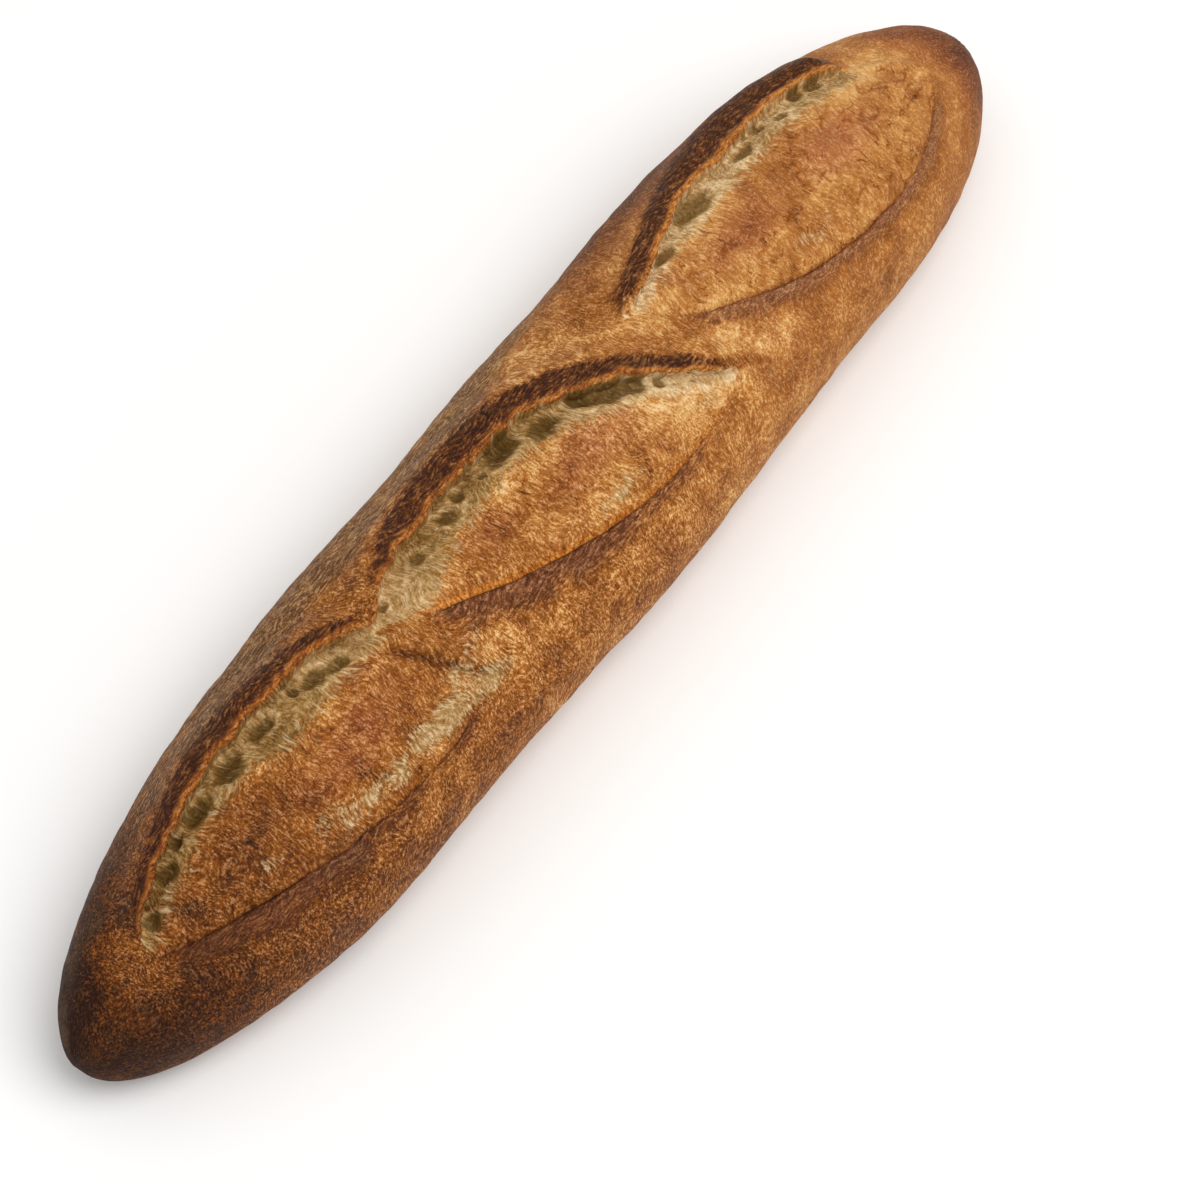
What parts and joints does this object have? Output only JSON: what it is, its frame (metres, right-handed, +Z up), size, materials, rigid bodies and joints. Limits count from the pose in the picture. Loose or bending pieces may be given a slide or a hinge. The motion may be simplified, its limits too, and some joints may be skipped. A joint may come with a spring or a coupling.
{
  "type": "baguette",
  "caption": "Long slim loaf of crusty white bread with a rounded back, a flat baked base, tapered round ends and slanting slashes that opened along the ridge with raised ears.",
  "frame": {"origin": "on the surface that the loaf lies on, under the centre of its bounding box", "axes": "+X along the loaf towards its paler, smoother end, +Y towards the flank with the raised ears, +Z up"},
  "size_m": [0.368, 0.0732, 0.0557],
  "materials": {
    "crust": null
  },
  "bodies": {
    "root": {"loaf": "crust"}
  },
  "joints": []
}
